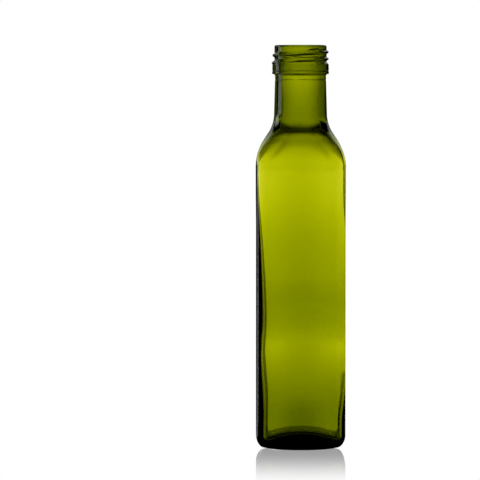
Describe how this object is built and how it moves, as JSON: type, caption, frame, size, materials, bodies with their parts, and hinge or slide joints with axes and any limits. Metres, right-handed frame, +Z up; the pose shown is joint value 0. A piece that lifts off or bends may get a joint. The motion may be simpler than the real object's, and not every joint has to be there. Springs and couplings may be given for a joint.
{
  "type": "square glass bottle",
  "caption": "Open square bottle of green glass with rounded shoulders, a round neck, a collar and a screw thread at the mouth, for oil or other liquid food.",
  "frame": {"origin": "middle of the base, on the plane that the bottle stands on", "axes": "+Z up along the bottle's axis to the mouth; X and Y square to the flat faces; -Y is the face towards the viewer"},
  "size_m": [0.0476, 0.0476, 0.214],
  "materials": {
    "green_glass": "smooth glossy transparent green glass, darker where the wall is thick"
  },
  "bodies": {
    "root": {"bottle": "green_glass"}
  },
  "joints": []
}
